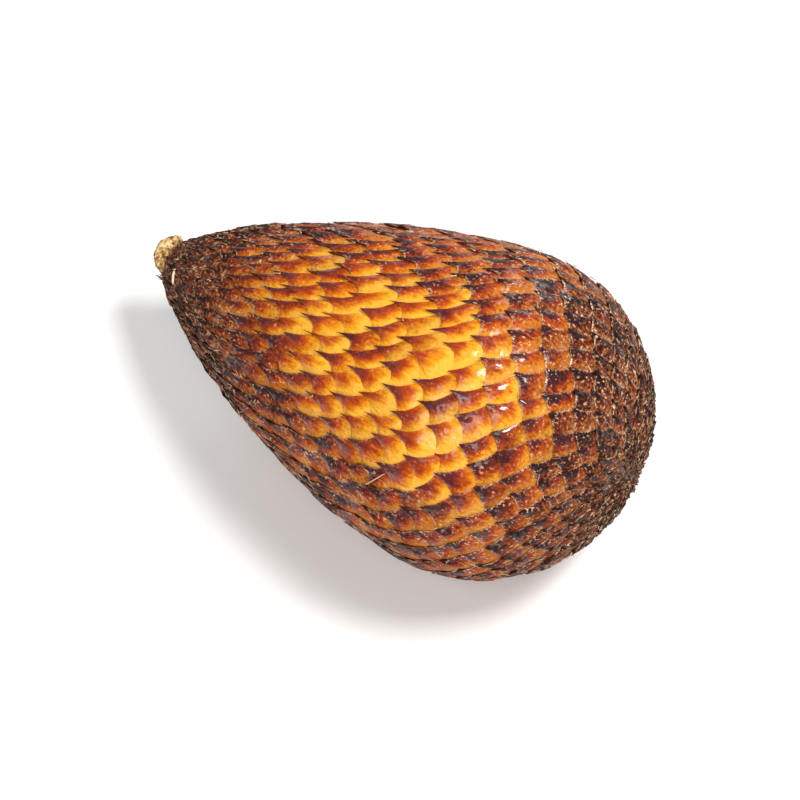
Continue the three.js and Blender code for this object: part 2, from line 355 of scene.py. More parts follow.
# ---- meshes ----------------------------------------------------------------------------
def mesh_object(name, points, faces):
    """A new object from an array of points and a list of arrays of faces, where the rows
    of one array are faces with the same number of corners. Points on no face are left out."""
    loops = np.concatenate([rows.ravel() for rows in faces])
    sizes = np.concatenate([np.full(len(rows), rows.shape[1]) for rows in faces])
    used, loops = np.unique(loops, return_inverse=True)
    mesh = bpy.data.meshes.new(name)
    mesh.vertices.add(len(used))
    mesh.vertices.foreach_set("co", points[used].astype(np.float32).ravel())
    mesh.loops.add(len(loops))
    mesh.loops.foreach_set("vertex_index", loops.astype(np.int32))
    mesh.polygons.add(len(sizes))
    starts = np.concatenate([[0], np.cumsum(sizes)[:-1]])
    mesh.polygons.foreach_set("loop_start", starts.astype(np.int32))
    mesh.polygons.foreach_set("use_smooth", np.ones(len(sizes), dtype=bool))
    mesh.update(calc_edges=True)
    piece = bpy.data.objects.new(name, mesh)
    bpy.context.scene.collection.objects.link(piece)
    return piece


def keep_values(piece, name, values, domain="FACE"):
    """Stores one number a face, or a point, for the material."""
    layer = piece.data.attributes.new(name, "FLOAT", domain)
    layer.data.foreach_set("value", np.ascontiguousarray(values, dtype=np.float32))


def keep_pairs(piece, name, pairs):
    """Stores a pair of numbers a face corner as a UV map."""
    layer = piece.data.uv_layers.new(name=name)
    layer.uv.foreach_set("vector", pairs.astype(np.float32).ravel())


def finish_piece(piece, material, node=None):
    """Gives a piece its material, body and slot, and the node that it replaces."""
    piece.data.materials.append(material)
    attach(piece, "root")
    if node:
        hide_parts(node)


def ring_faces(rings, sides):
    """Faces between rings of points: (n, 4) corners, facing out where the rings turn
    left about their direction of travel."""
    row = np.arange(rings - 1)[:, None] * sides
    side = np.arange(sides)[None, :]
    onward = (side + 1) % sides
    quads = np.stack([row + side, row + onward, row + sides + onward, row + sides + side], -1)
    return quads.reshape(-1, 4)


def add_tubes(name, centres, outward, radii, tones, sides=3):
    """Many slim closed tubes as one piece of dry fibre. centres is (tubes, rings, 3),
    outward is a direction to set each ring by, radii is (tubes, rings) in millimetres and
    tones is a number a tube. Each ring is its centre plus radius (sin a up - cos a side),
    and both ends are closed by one face."""
    count, rings = radii.shape
    travel = unit(np.gradient(centres, axis=1))
    side = unit(np.cross(travel, outward))
    up = np.cross(side, travel)
    turn = np.arange(sides) / sides * 2 * math.pi
    across = -np.cos(turn)[:, None] * side[:, :, None] + np.sin(turn)[:, None] * up[:, :, None]
    points = centres[:, :, None] + (radii * MM)[:, :, None, None] * across
    starts = (np.arange(count) * rings * sides)[:, None, None]
    walls = (ring_faces(rings, sides)[None] + starts).reshape(-1, 4)
    first = np.arange(sides)[::-1] + starts[:, 0]
    final = np.arange(sides) + (rings - 1) * sides + starts[:, 0]
    piece = mesh_object(name, points.reshape(-1, 3), [walls, first, final])
    keep_values(piece, "tone", np.repeat(tones, rings * sides), "POINT")
    finish_piece(piece, dry_fibre())


# ---- the scaly skin --------------------------------------------------------------------
def scale_relief(s, t):
    """Height over the bare skin of a scale at (s, t), which run from 0 at the tip to 1
    along its two free edges. A plateau with a rise to the tip and a keel on the diagonal,
    falling to the valley at s = 1 and t = 1 as (1 - s^n)(1 - t^n), plus a pillow."""
    valley = (1.0 - s ** SHOULDER) * (1.0 - t ** SHOULDER)
    along = (s + t) / 2.0
    tip = TIP_RISE * (1.0 - along) ** 2
    ridge = np.exp(-((s - t) / KEEL_WIDTH) ** 2)
    keel = KEEL_RISE * ridge * smooth_step(along, KEEL_END, KEEL_FULL)
    pillow = PILLOW * np.sin(math.pi * s) * np.sin(math.pi * t)
    rounding = EDGE_ROUND * np.exp(-np.minimum(s, t) / EDGE_ROUND_WIDTH)
    return valley * (PLATEAU + tip + keel - rounding) + pillow


def scale_heights(rng, s, t):
    """Height of every point of every scale: the relief times the scale's own size, more at
    the tips that stand up, and noise that grows where the skin is dry."""
    size = 1.0 + HEIGHT_SPREAD * rng.normal(size=(SCALES, 1, 1))
    lifted = LIFT * (rng.random((SCALES, 1, 1)) < LIFTED_SHARE)
    height = scale_relief(s, t) * size + (1.0 - smooth_step(s + t, 0.0, LIFT_PART)) * lifted
    x = on_meridian(NUMBER / COLUMNS)[0]
    rough = DRY_ROUGHNESS * dryness(column_angle(NUMBER * NEAR, x), x)
    rough = FRESH_ROUGHNESS + rough[:, None, None]
    return height + rough * rng.normal(size=height.shape) * (height > ROUGH_ABOVE)


def drawn_in(u):
    """How far a free edge is drawn in at u along it: nothing at the tip and the corner,
    most a little before the middle."""
    return u * (1.0 - u) ** CUSP_FADE


def bent_edges(rng, s, t):
    """s and t of every scale's points once its edges are bent: the free edges are drawn in
    behind the tip, which reaches out, and the back edges run on by a parabola."""
    near_cusp, far_cusp, reach = (
        most * (1.0 + CUSP_SPREAD * rng.normal(size=(SCALES, 1, 1)))
        for most in (NEAR_CUSP, FAR_CUSP, TIP_REACH))
    x = on_meridian(NUMBER / COLUMNS)[0]
    pointed = (1.0 - BLUNTNESS * smooth_step(x, BLUNT_FROM, BLUNT_TO))[:, None, None]
    reach_out = reach * pointed * (1.0 - smooth_step(s + t, 0.0, TIP_PART))
    tuck_s = UNDERCUT * 4.0 * t * (1.0 - t) * smooth_step(s, UNDERCUT_FROM, 1.0)
    tuck_t = UNDERCUT * 4.0 * s * (1.0 - s) * smooth_step(t, UNDERCUT_FROM, 1.0)
    s_bent = s + far_cusp * drawn_in(t) + tuck_s - reach_out
    t_bent = t + near_cusp * pointed * drawn_in(s) + tuck_t - reach_out
    return s_bent, t_bent


def scale_points(rng):
    """The points of every scale, and the point on the bare skin under each tip, where the
    scales ahead of it meet. Each scale is a grid over (s, t), with column s - t and spiral
    place 21/55 s + 34/55 t, and its four corners are shaken out of line."""
    s, t = np.meshgrid(EDGE_STEPS, EDGE_STEPS, indexing="ij")
    s_bent, t_bent = bent_edges(rng, s, t)
    tips = np.arange(SCALES + COLUMNS)
    shake_column = COLUMN_SHAKE * rng.normal(size=len(tips))
    shake_place = PLACE_SHAKE * rng.normal(size=len(tips))
    n = NUMBER[:, None, None]

    def shared(shake):
        """Each scale's grid moved by its four corners' shake, in shares of s and t."""
        return (shake[n] * (1 - s) * (1 - t) + shake[n + NEAR] * s * (1 - t)
                + shake[n + FAR] * (1 - s) * t + shake[n + BACK] * s * t)

    column = n * NEAR + (s_bent - t_bent) + shared(shake_column)
    place = n / COLUMNS + (NEAR * s_bent + FAR * t_bent) / COLUMNS
    place = place + FOOT_SHIFT * smooth_step(np.maximum(s, t), 0.0, 1.0) + shared(shake_place)
    grid = skin_point(column, place, scale_heights(rng, s, t)).reshape(-1, 3)
    feet = skin_point(tips * NEAR + shake_column, tips / COLUMNS + FOOT_SHIFT + shake_place,
                      np.zeros(len(tips)))
    return grid, feet


def end_points():
    """A ring at the socket's lip and one on its floor, the floor's middle and the pole."""
    around = np.arange(COLUMNS)
    radius = np.full(COLUMNS, SOCKET_RADIUS)
    lip, floor = (body_point(np.full(COLUMNS, x), radius, column_angle(around, x))
                  for x in (RIM_PLACE, SOCKET_FLOOR))
    middle_x = np.array([SOCKET_FLOOR, BELLY_RADIUS + POLE_RISE])
    return np.concatenate([lip, floor, body_point(middle_x, np.zeros(2), np.zeros(2))])


def point_numbers(feet_at):
    """The number of each point of each scale's grid. Its three back corners are the points
    under the tips behind it, which it shares with its neighbours."""
    index = np.arange(SCALES * (LAST + 1) ** 2).reshape(SCALES, LAST + 1, LAST + 1)
    index[:, LAST, 0] = feet_at + NUMBER + NEAR
    index[:, 0, LAST] = feet_at + NUMBER + FAR
    index[:, LAST, LAST] = feet_at + NUMBER + BACK
    return index


def scale_faces():
    """The faces of one scale and of the walls under its two free edges. Each corner is
    (steps back along the spiral, row, column, s, t): the first three say which point of
    which scale it is, and s and t go to the map for the colours."""
    step = EDGE_STEPS
    i, j = (grid.ravel() for grid in np.meshgrid(np.arange(LAST), np.arange(LAST), indexing="ij"))

    def corner(back, row, column, s, t):
        parts = np.broadcast_arrays(back, row, column, s, t)
        return np.stack(parts, -1).astype(float)

    tops = np.stack([corner(0, i + a, j + b, step[i + a], step[j + b])
                     for a, b in ((0, 0), (1, 0), (1, 1), (0, 1))], 1)
    k = np.arange(LAST)
    near = np.stack([corner(0, k + 1, 0, step[k + 1], 0), corner(0, k, 0, step[k], 0),
                     corner(FAR, k, LAST, step[k], WALL_MARK),
                     corner(FAR, k + 1, LAST, step[k + 1], WALL_MARK)], 1)
    far = np.stack([corner(0, 0, k, 0, step[k]), corner(0, 0, k + 1, 0, step[k + 1]),
                    corner(NEAR, LAST, k + 1, WALL_MARK, step[k + 1]),
                    corner(NEAR, LAST, k, WALL_MARK, step[k])], 1)
    return tops, near[:-1], near[-1:, :3], far[:-1], far[-1:][:, [0, 1, 3]]


def whole_scales(index):
    """The faces of all scales, as (faces, map pairs, scale of each face). The walls under a
    scale reach down to the last rows of the two scales ahead of it."""
    parts = []
    for template in scale_faces():
        owners = NUMBER[int(template[..., 0].max()):]
        ahead = owners[:, None, None] - template[None, ..., 0].astype(int)
        rows = index[ahead, template[..., 1].astype(int), template[..., 2].astype(int)]
        pairs = np.broadcast_to(template[..., 3:], rows.shape + (2,))
        parts.append((rows.reshape(-1, rows.shape[-1]), pairs.reshape(-1, 2),
                      np.repeat(owners, len(template))))
    return parts


def closed_ends(index, feet_at, lip_at):
    """The faces that close the skin, in the same form: the first scales' walls reach down
    to the rim, which turns into the socket, and the last scales meet at the pole."""
    around = np.arange(COLUMNS)
    onward = (around + 1) % COLUMNS
    lip, floor = lip_at + around, lip_at + COLUMNS + around
    lip_on, floor_on = lip_at + onward, lip_at + COLUMNS + onward
    middle, pole = lip_at + 2 * COLUMNS, lip_at + 2 * COLUMNS + 1
    rim, rim_on = (feet_at + (side * NEAR) % COLUMNS for side in (around, onward))
    parts = [
        (np.column_stack([index[:FAR, ::-1, 0], feet_at + NUMBER[:FAR]]), NUMBER[:FAR]),
        (np.column_stack([feet_at + NUMBER[:NEAR], index[:NEAR, 0, :]]), NUMBER[:NEAR]),
        (np.column_stack([np.full(NEAR, pole), index[-NEAR:, LAST, ::-1]]), NUMBER[-NEAR:]),
        (np.column_stack([np.full(FAR, pole), index[-FAR:, :, LAST]]), NUMBER[-FAR:]),
        (np.column_stack([lip, lip_on, rim_on, rim]), around),
        (np.column_stack([floor, floor_on, lip_on, lip]), around),
        (np.column_stack([np.full(COLUMNS, middle), floor_on, floor]), around),
    ]
    return [(rows, np.full((rows.size, 2), END_MARK), owners) for rows, owners in parts]


def add_skin():
    """The scaly skin as one closed surface, with four numbers a scale for its colours."""
    grid, feet = scale_points(np.random.default_rng(SEED))
    index = point_numbers(len(grid))
    parts = whole_scales(index) + closed_ends(index, len(grid), len(grid) + len(feet))
    faces, pairs, owners = zip(*parts)
    piece = mesh_object("scaly_skin", np.concatenate([grid, feet, end_points()]), faces)
    keep_pairs(piece, "scale", np.concatenate(pairs))

    owner = np.concatenate(owners)
    rng = np.random.default_rng(SEED + 1)
    x = on_meridian(NUMBER / COLUMNS + 0.5)[0]
    angle = column_angle(NUMBER * NEAR, x)
    keep_values(piece, "tone", rng.random(SCALES)[owner])
    keep_values(piece, "twist", rng.random(SCALES)[owner])
    gold = warmth(angle, x) + GOLD_SPREAD * rng.normal(size=SCALES)
    keep_values(piece, "gold", gold[owner])
    dry = dryness(angle, x) + DRY_SPREAD * rng.normal(size=SCALES)
    keep_values(piece, "dry", dry.clip(0, 1)[owner])
    piece.data.set_sharp_from_angle(angle=math.radians(50))
    finish_piece(piece, scale_skin(), "fruit")


# ---- shader maths ----------------------------------------------------------------------
class Wire:
    """One output of a node tree, so that maths on it can be written as Python sums."""

    def __init__(self, shade, socket):
        self.shade = shade
        self.socket = socket

    def maths(self, operation, *others, swapped=False):
        values = [self, *others]
        if swapped:
            values.reverse()
        return self.shade.add("ShaderNodeMath", {"operation": operation}, dict(enumerate(values)))

    def __add__(self, other):
        return self.maths("ADD", other)

    __radd__ = __add__

    def __sub__(self, other):
        return self.maths("SUBTRACT", other)

    def __rsub__(self, other):
        return self.maths("SUBTRACT", other, swapped=True)

    def __mul__(self, other):
        return self.maths("MULTIPLY", other)

    __rmul__ = __mul__

    def __pow__(self, other):
        return self.maths("POWER", other)

    def least(self, other):
        return self.maths("MINIMUM", other)

    def most(self, other):
        return self.maths("MAXIMUM", other)


class Shade:
    """A material under construction."""

    def __init__(self, name):
        self.material = bpy.data.materials.new(name)
        self.material.use_nodes = True
        self.tree = self.material.node_tree
        self.tree.nodes.clear()

    def add(self, kind, settings=None, sockets=None, output=0):
        """Adds a node: settings first, then the values or links of its sockets."""
        node = self.tree.nodes.new(kind)
        for name, value in (settings or {}).items():
            if name == "stops":
                self.set_stops(node.color_ramp, value)
            else:
                setattr(node, name, value)
        for name, value in (sockets or {}).items():
            if isinstance(value, Wire):
                self.tree.links.new(value.socket, node.inputs[name])
            else:
                node.inputs[name].default_value = value
        return Wire(self, node.outputs[output])

    @staticmethod
    def set_stops(ramp, stops):
        while len(ramp.elements) > 1:
            ramp.elements.remove(ramp.elements[-1])
        ramp.elements[0].position = stops[0][0]
        ramp.elements[0].color = (*stops[0][1], 1.0)
        for place, colour in stops[1:]:
            ramp.elements.new(place).color = (*colour, 1.0)

    def ramp(self, value, stops):
        return self.add("ShaderNodeValToRGB", {"stops": stops}, {0: value})

    def step(self, value, low, high):
        """Smooth step from 0 at low to 1 at high."""
        settings = {"interpolation_type": "SMOOTHSTEP"}
        return self.add("ShaderNodeMapRange", settings, {0: value, 1: low, 2: high, 3: 0.0, 4: 1.0})

    def mix(self, amount, first, second):
        """Mixes two colours."""
        settings = {"data_type": "RGBA", "blend_type": "MIX", "clamp_factor": True}
        return self.add("ShaderNodeMix", settings, {0: amount, 6: first, 7: second}, output=2)

    def noise(self, place, scale, detail=2.0, roughness=0.5):
        sockets = {"Vector": place, "Scale": scale, "Detail": detail, "Roughness": roughness}
        return self.add("ShaderNodeTexNoise", None, sockets)

    def scaled(self, place, factors):
        """A place with each of its three numbers multiplied."""
        return self.add("ShaderNodeVectorMath", {"operation": "MULTIPLY"}, {0: place, 1: factors})

    def vector(self, x, y, z):
        return self.add("ShaderNodeCombineXYZ", None, {0: x, 1: y, 2: z})

    def value(self, name):
        """A number stored on the mesh."""
        settings = {"attribute_type": "GEOMETRY", "attribute_name": name}
        return self.add("ShaderNodeAttribute", settings, output=2)

    def map_pair(self, name):
        """Both numbers of a UV map."""
        uv = self.add("ShaderNodeUVMap", {"uv_map": name})
        return [self.add("ShaderNodeSeparateXYZ", None, {0: uv}, output=side) for side in (0, 1)]

    def place(self):
        """Object coordinates."""
        return self.add("ShaderNodeTexCoord", output=3)

    def finish(self, colour, roughness, height=None, bump=0.5, depth=0.0002, **fixed):
        """Principled surface with a bump from height, and other sockets set as they are."""
        sockets = {"Base Color": colour, "Roughness": roughness}
        sockets.update(fixed)
        if height is not None:
            bumps = {"Strength": bump, "Distance": depth, "Height": height}
            sockets["Normal"] = self.add("ShaderNodeBump", None, bumps)
        surface = self.add("ShaderNodeBsdfPrincipled", None, sockets)
        node = self.tree.nodes.new("ShaderNodeOutputMaterial")
        self.tree.links.new(surface.socket, node.inputs["Surface"])
        return self.material


def rgb(red, green, blue):
    """An opaque colour."""
    return (red, green, blue, 1.0)


# ---- the skin's material ---------------------------------------------------------------
NEARLY_BLACK = rgb(0.014, 0.006, 0.008)
# the next colour is painted shade for the walls under the scales' free edges
UNDER_EDGE_SHADE = rgb(0.060, 0.012, 0.004)
DARK_TAN = rgb(0.340, 0.130, 0.050)
PALE_TAN = rgb(0.800, 0.580, 0.380)
# The dark first stops here and in RUSSET_SCALE are tinted purple over the tips' dark brown, partly
# painted sheen.
GOLDEN_SCALE = [
    (0.00, (0.100, 0.015, 0.018)),
    (0.14, (0.170, 0.022, 0.014)),
    (0.28, (0.270, 0.030, 0.008)),
    (0.40, (0.380, 0.046, 0.004)),
    (0.52, (0.490, 0.092, 0.004)),
    (0.64, (0.620, 0.180, 0.005)),
    (0.76, (0.730, 0.285, 0.010)),
    (0.94, (0.830, 0.410, 0.040)),
]
RUSSET_SCALE = [
    (0.10, (0.026, 0.010, 0.014)),
    (0.32, (0.055, 0.012, 0.014)),
    (0.44, (0.140, 0.018, 0.010)),
    (0.56, (0.270, 0.033, 0.007)),
    (0.74, (0.370, 0.062, 0.005)),
    (0.92, (0.470, 0.135, 0.014)),
]
OLD_SCALE = [
    (0.12, (0.014, 0.007, 0.008)),
    (0.32, (0.050, 0.014, 0.010)),
    (0.52, (0.140, 0.032, 0.012)),
    (0.74, (0.240, 0.075, 0.028)),
    (1.00, (0.400, 0.190, 0.100)),
]


class ScaleNumbers:
    """What every layer of the skin's material reads: the scale's own numbers, how far a
    point is from the tip (reach, an ellipse in s and t that differs from scale to scale)
    and from a free edge, and noises from the scale's size down to its flakes."""

    def __init__(self, m):
        s, t = m.map_pair("scale")
        self.gold, self.dry, tone, twist = (
            m.value(name) for name in ("gold", "dry", "tone", "twist"))
        place = m.place()
        slant = tone - 0.5
        self.twist = twist - 0.5
        self.reach = (s * s * (1.15 + slant * 0.9) + t * t * (0.66 - slant * 0.6)) ** 0.5
        self.edge = s.least(t)
        self.streak = m.noise(m.vector((s - t) * 6.0, (s + t) * 1.6, tone * 57.0), 1.0, 3.0, 0.65)
        self.frayed = m.noise(m.vector(s * 14.0, t * 14.0, tone * 83.0), 1.0, 3.0, 0.6)
        self.cloud = m.noise(place, 70.0, 2.0, 0.5)
        self.gloss = m.noise(place, 300.0, 3.0, 0.7)
        self.blotch = m.noise(place, 420.0, 4.0, 0.6)
        self.sparkle = m.noise(place, 1500.0, 2.0, 0.6)
        self.flakes = m.noise(place, 2300.0, 2.0, 0.5)
        self.lengthwise = m.noise(m.scaled(place, (170.0, 1300.0, 1300.0)), 1.0, 3.0, 0.6)


def skin_base(m, n):
    """Colour by the distance from the tip: golden or russet where fresh, brown where old."""
    marks = (n.streak - 0.5) * 0.45 + (n.blotch - 0.5) * 0.65 + (n.lengthwise - 0.5) * 0.5
    marks = marks + (n.flakes - 0.5) * (0.6 - n.gold * 0.4)
    patchy = n.twist * 0.4 + (n.cloud - 0.5) * 0.3
    golden = m.ramp(n.reach + (n.gold - 0.9) * 0.5 + patchy + marks - 0.06, GOLDEN_SCALE)
    russet = m.ramp(n.reach + patchy + marks * 1.3 - 0.09, RUSSET_SCALE)
    fresh = m.mix(m.step(n.gold, 0.10, 0.90), russet, golden)
    worn = n.reach * 0.6 + (n.flakes - 0.5) * 1.8 + marks + n.twist * 0.3
    return m.mix(n.dry, fresh, m.ramp(worn, OLD_SCALE))


def frayed_margin(m, n):
    """1 on the torn pale margin of the free edges, less so on golden scales."""
    margin = m.step(n.edge + (n.frayed - 0.5) * 0.5, 0.07, -0.03) * m.step(n.reach, 0.15, 0.4)
    return margin * (1.0 - n.gold * 0.9).most(0.0)


def skin_colour(m, n, margin):
    """The base with tan margins, streaks and flecks, dark pits, and painted shade on the walls
    under the free edges.
    """
    straw = m.step(n.streak, 0.64, 0.72) * (0.6 - n.gold).most(0.0) * m.step(n.reach, 0.2, 0.6)
    fleck_share = (0.9 - n.gold * 0.8).most(n.dry * 0.95)
    fleck = m.step(n.flakes * 0.7 + n.frayed * 0.3, 0.58, 0.64) * fleck_share
    tan = m.mix(m.step(n.blotch, 0.35, 0.65), DARK_TAN, PALE_TAN)
    edged = m.mix(margin.most(fleck).most(straw), skin_base(m, n), tan)
    pit_share = (0.6 - n.gold * 0.6).most(n.dry * 0.8)
    pit = m.step(n.flakes * 0.5 + n.blotch * 0.5, 0.45, 0.37) * pit_share
    # low is painted shade on the walls under the free edges, lighter on golden scales
    low = m.step(n.edge, -0.03, -0.12) * (0.9 - n.gold * 0.65)
    return m.mix(low, m.mix(pit, edged, NEARLY_BLACK), UNDER_EDGE_SHADE)


def scale_skin():
    """Each scale runs from a dark glossy tip over red and orange to a golden back. Towards
    the ends and the shaded side scales are russet, then dry, flecked and dull."""
    m = Shade("scale_skin")
    n = ScaleNumbers(m)
    margin = frayed_margin(m, n)
    colour = skin_colour(m, n, margin)
    glossy_spots = m.step(n.gloss * 0.5 + n.sparkle * 0.5, 0.46, 0.54)
    shine = glossy_spots * (1.0 - m.step(n.reach, 0.35, 0.8) * 0.6)
    coat = shine * (n.gold * 0.75 + 0.2).least(1.0)
    roughness = 0.6 - m.step(n.gloss, 0.5, 0.66) * 0.25 + margin * 0.2
    flaky = n.flakes * (0.55 - n.gold * 0.25).most(0.1)
    height = n.streak * 0.45 + n.blotch * 0.35 + flaky + n.sparkle * 0.4
    return m.finish(colour, roughness, height, 0.8, 0.0005,
                    **{"Specular IOR Level": 0.06, "Coat Weight": coat,
                       "Coat Roughness": 0.15, "Coat IOR": 1.7})


# ---- the other materials ---------------------------------------------------------------
def stalk_cork():
    """Straw-coloured corky fibre, with painted shade round its foot where it sits in the socket;
    its dark cracks and pale tops are partly its own mottling and partly painted shade and
    highlight.
    """
    m = Shade("stalk_cork")
    around, along = m.map_pair("knob")
    place = m.place()
    strand = m.noise(m.vector(around * 26.0, along * 3.0, 0.0), 1.0, 3.0, 0.6)
    grain = m.noise(place, 1500.0, 3.0, 0.7)
    patch = m.noise(place, 500.0, 2.0, 0.5)
    # darker round the foot: painted shade where the knob sits in the socket
    painted_foot_shade = m.step(along, 0.45, 0.15) * 0.25
    # the ramp's dark end is partly painted shade in the cracks, and its pale end partly painted
    # highlight
    colour = m.ramp(strand * 0.3 + grain * 1.5 + patch * 0.7 - 0.76 - painted_foot_shade, [
        (0.28, (0.050, 0.020, 0.010)),
        (0.40, (0.240, 0.110, 0.035)),
        (0.50, (0.520, 0.290, 0.080)),
        (0.60, (0.720, 0.480, 0.180)),
        (0.80, (0.860, 0.700, 0.420)),
    ])
    return m.finish(colour, 0.75 - strand * 0.15, strand * 0.3 + grain * 0.7, 1.0, 0.0006)


def dry_fibre():
    """Dry straw, each fibre a little lighter or browner than the next."""
    m = Shade("dry_fibre")
    tone = m.value("tone")
    grain = m.noise(m.place(), 3000.0, 2.0, 0.5)
    colour = m.ramp(tone * 0.8 + grain * 0.2, [
        (0.05, (0.045, 0.016, 0.010)),
        (0.45, (0.330, 0.150, 0.055)),
        (0.80, (0.620, 0.430, 0.220)),
        (0.95, (0.800, 0.680, 0.470)),
    ])
    return m.finish(colour, 0.5 + grain * 0.2)


def pale_floor():
    """Matt white paper, with a faint grain."""
    m = Shade("pale_floor")
    grain = m.noise(m.place(), 30.0)
    return m.finish(m.mix(grain, rgb(0.84, 0.84, 0.84), rgb(0.87, 0.87, 0.87)), 0.7)


# ---- the stalk's broken end ------------------------------------------------------------
def knob_radius(rng, angle, v):
    """Radius of the knob at v along it, and its strands. It swells over the rim and rounds
    off as (1 - (0.985 r)^2.2)^0.5, with r the share of the way over its bulb. Strands and
    lumps are sums of cosines, and crumbs are noise. In the socket it keeps clear."""
    strands = sum(
        rng.uniform(0.3, 1.0)
        * np.cos(count * angle + rng.uniform(0, 2 * math.pi) + rng.normal() * STRAND_TWIST * v)
        for count in KNOB_STRANDS) / 4.0
    lumps = sum(
        rng.uniform(0.4, 1.0)
        * np.cos(count * angle + rng.uniform(0, 6))
        * np.sin(waves * v * math.pi + rng.uniform(0, 6))
        for count, waves in KNOB_LUMPS) / 3.0
    crumbs = rng.normal(size=(KNOB_RINGS, KNOB_SIDES))
    crumbs = (crumbs + np.roll(crumbs, 1, axis=1) + np.roll(crumbs, 1, axis=0)) / 3.0
    rounding = np.maximum(v - KNOB_BULB, 0.0) / (1.0 - KNOB_BULB)
    profile = (1.0 - (KNOB_TOP * rounding) ** KNOB_ROUNDNESS) ** 0.5
    swell = 1.0 + KNOB_BULGE * smooth_step(v, *KNOB_SWELL)
    uneven = 1.0 + STRAND_RISE * strands + LUMP_RISE * lumps + CRUMB_RISE * crumbs
    radius = KNOB_RADIUS * swell * profile * uneven
    in_socket = np.minimum(radius, SOCKET_RADIUS - SOCKET_GAP)
    return np.where(v < KNOB_SOCKET_SHARE, in_socket, radius), strands


def add_knob():
    """A leaning knob of cork: rings along the fruit's axis from the socket's floor, which
    lean over by a smooth step, closed by a fan at each end."""
    rng = np.random.default_rng(SEED + 2)
    side = np.arange(KNOB_SIDES)
    onward = (side + 1) % KNOB_SIDES
    v = np.linspace(0.0, 1.0, KNOB_RINGS)[:, None]
    angle = side / KNOB_SIDES * 2 * math.pi
    radius, strands = knob_radius(rng, angle, v)
    torn = KNOB_TEAR * np.maximum(strands, 0.0) * smooth_step(v, KNOB_TEAR_FROM, 1.0)
    x = SOCKET_FLOOR - SOCKET_GAP - (KNOB_LENGTH + SOCKET_DEPTH) * v - torn
    leant = smooth_step(v, KNOB_SOCKET_SHARE, KNOB_LEANT)
    lean = np.array(KNOB_LEAN) * MM * leant[..., None]
    points = body_point(x, radius, np.broadcast_to(-angle, x.shape)) + lean
    middle_x = np.array([x[0, 0], x[-1].mean() - 0.05])
    middles = body_point(middle_x, np.zeros(2), np.zeros(2))
    middles[1] += lean[-1, 0]

    count = KNOB_SIDES * KNOB_RINGS
    last_ring = count - KNOB_SIDES
    walls = ring_faces(KNOB_RINGS, KNOB_SIDES)
    foot = np.column_stack([np.full(KNOB_SIDES, count), onward, side])
    top = np.column_stack([np.full(KNOB_SIDES, count + 1), last_ring + side, last_ring + onward])
    piece = mesh_object("stalk_knob", np.concatenate([points.reshape(-1, 3), middles]),
                        [walls, foot, top])
    flat_u = np.concatenate([np.tile(side / KNOB_SIDES, KNOB_RINGS), [0.0, 0.0]])
    flat_v = np.concatenate([np.repeat(v[:, 0], KNOB_SIDES), [0.0, 1.0]])
    loops = np.concatenate([rows.ravel() for rows in (walls, foot, top)])
    keep_pairs(piece, "knob", np.column_stack([flat_u, flat_v])[loops])
    finish_piece(piece, stalk_cork(), "stalk_stump")


# ---- prickles and fibres: a pair is the least and the most, in millimetres ---------------
PRICKLE_SHARE = 0.8  # the share of scales that keep one
PRICKLES_LOST = 0.6  # and the share less where the skin is golden
PRICKLE_LENGTH = (0.25, 0.85)
PRICKLE_RADIUS = (0.07, 0.13)
PRICKLE_HEIGHT = 0.3  # of its root
PRICKLE_LIFT = (0.0, 0.45)  # of its point over that
FIBRES = 600
FIBRE_SIDES = [185, 225, 10, 340, 40]  # degrees round the fruit where they gather
FIBRE_SHARES = [0.35, 0.2, 0.15, 0.15, 0.15]
FIBRE_SCATTER = 20.0
FIBRE_PLACES = (-46.0, 21.0)
FIBRE_LENGTH = (0.3, 1.2)
FIBRE_RADIUS = (0.03, 0.065)
FIBRE_HEIGHT = 0.36
SPLINTER = (-5.4, 155.0, -2.9, 146.0, 0.09, 0.25, 0.85)  # from x and angle, to x and angle,
THREAD = (-44.6, 120.0, -43.9, 137.0, 0.18, 0.1, 1.0)  # then its radius, bow and tone
SPLINTER_HEIGHT = 0.55
COLLAR_FIBRES = 150
COLLAR_FROM = (0.1, 0.9)  # from the rim, away from the stalk
COLLAR_LENGTH = (0.6, 2.0)
COLLAR_RADIUS = (0.06, 0.14)
COLLAR_HEIGHT = 2.5  # over the fruit's axis
COLLAR_LIFT = (-0.1, 0.5)


def add_prickles():
    """What is left of the prickle on a scale's tip: a slim bent spine that points to the
    stalk, its height a share of its length squared. Fewer are left on golden scales."""
    rng = np.random.default_rng(SEED + 3)
    x = on_meridian(NUMBER / COLUMNS)[0]
    gold = warmth(column_angle(NUMBER * NEAR, x), x)
    kept = rng.random(SCALES) < PRICKLE_SHARE - PRICKLES_LOST * gold
    number = np.flatnonzero(kept)[:, None]
    v = np.linspace(0.0, 1.0, 4)[None, :]
    length = rng.uniform(*PRICKLE_LENGTH, size=number.shape)
    pitch = scale_pitch(*on_meridian(number / COLUMNS)[:2])
    slant = rng.normal(size=number.shape) * 0.25
    height = PRICKLE_HEIGHT + rng.uniform(*PRICKLE_LIFT, size=number.shape) * v ** 2
    angle = column_angle(number * NEAR + slant * v, x[number])
    points, outward = along_skin(angle, number / COLUMNS + 0.06 - length / pitch * v, height)
    radii = rng.uniform(*PRICKLE_RADIUS, size=number.shape) * (1.0 - 0.85 * v)
    add_tubes("tip_prickles", points, outward, radii, rng.random(len(number)))


